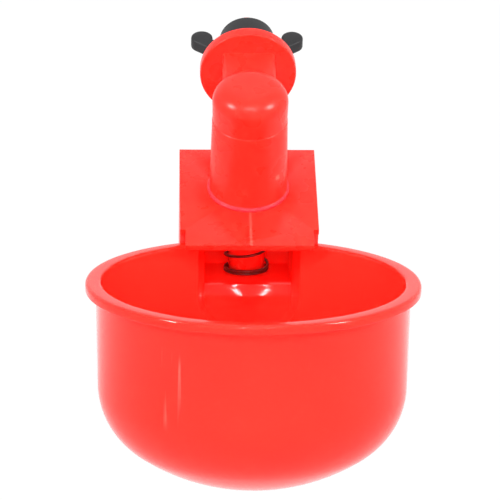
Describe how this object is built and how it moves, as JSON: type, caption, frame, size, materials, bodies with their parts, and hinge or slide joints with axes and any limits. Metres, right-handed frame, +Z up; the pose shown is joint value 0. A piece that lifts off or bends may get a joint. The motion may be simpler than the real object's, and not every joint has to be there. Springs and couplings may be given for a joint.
{
  "type": "self-filling poultry drinking cup",
  "caption": "Round drinking bowl hung on two pivots under a hood with a spring-loaded water valve, fixed to a bucket wall by a threaded inlet and wing nut.",
  "frame": {"origin": "on the inlet's axis at the back face of the flange, where the bucket wall comes", "axes": "-Y towards the bowl, +Y along the threaded stub, +Z up along the valve tube, X across the bowl"},
  "size_m": [0.08, 0.1355, 0.0735],
  "materials": {
    "red_plastic": "glossy moulded",
    "black_plastic": "satin moulded",
    "spring_steel": "drawn wire",
    "black_rubber": "matt",
    "pale_silicone": "satin, slightly translucent"
  },
  "bodies": {
    "housing": {"valve_body": "red_plastic", "hood": "red_plastic", "outlet_nozzle": "red_plastic", "return_spring": "spring_steel", "wall_gasket": "pale_silicone"},
    "cup": {"cup": "red_plastic"},
    "stem": {"valve_stem": "red_plastic", "valve_seal": "black_rubber"},
    "nut": {"wing_nut": "black_plastic"}
  },
  "joints": [
    {"name": "cup_tilt", "type": "hinge", "parent": "housing", "child": "cup", "pos_m": [0, -0.0376, -0.0324], "axis": [1, 0, 0], "range_deg": [0, 12], "stiffness_Nm_per_rad": 0.06, "springref_deg": -28.65},
    {"name": "stem_lift", "type": "slide", "parent": "housing", "child": "stem", "axis": [0, 0, 1], "range_m": [0, 0.0037], "deforming": ["return_spring"]},
    {"name": "nut_spin", "type": "hinge", "parent": "housing", "child": "nut", "pos_m": [0, 0.007, 0], "axis": [0, 1, 0], "continuous": true}
  ],
  "couplings": [
    {"joint": "stem_lift", "follows": "cup_tilt", "m_per_rad": 0.01766}
  ]
}
